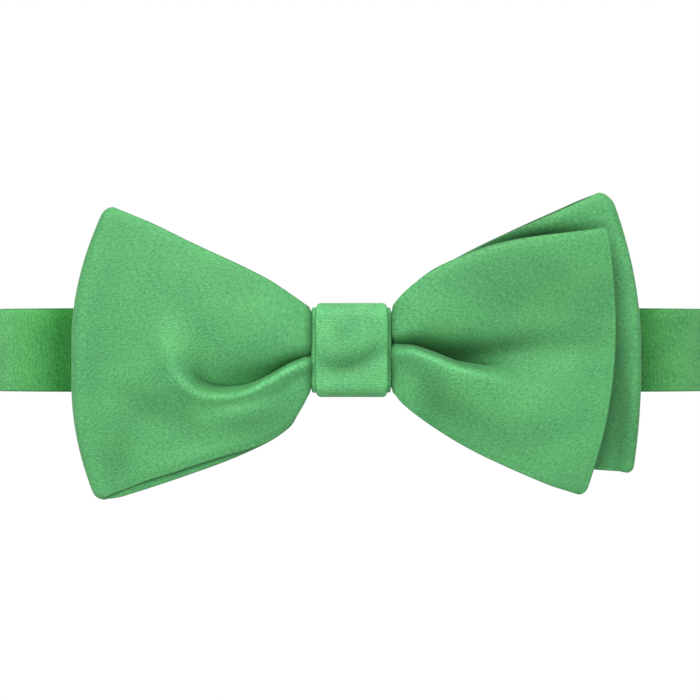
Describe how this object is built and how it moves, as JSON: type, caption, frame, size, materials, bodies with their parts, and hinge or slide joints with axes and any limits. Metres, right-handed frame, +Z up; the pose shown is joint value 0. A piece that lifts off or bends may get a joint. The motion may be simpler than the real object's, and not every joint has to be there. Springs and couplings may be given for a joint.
{
  "type": "self-tie bow tie",
  "caption": "Tied satin bow tie: a folded loop and a flat end on each side of a small knot, on a neckband that runs round a collar.",
  "frame": {"origin": "the middle of the neck opening, at half the band's height", "axes": "+X to the wearer's left, along the bow; +Y to the back of the neck; +Z up; the bow is at the front, towards -Y"},
  "size_m": [0.1654, 0.1162, 0.0656],
  "materials": {
    "wing_satin": "satin",
    "knot_satin": "satin",
    "band_satin": "satin"
  },
  "bodies": {
    "root": {"neckband": "band_satin", "knot_outer_ply": "knot_satin", "knot_inner_ply": "knot_satin", "front_loop": "wing_satin", "front_end": "wing_satin", "back_loop": "wing_satin", "back_end": "wing_satin"}
  },
  "joints": []
}
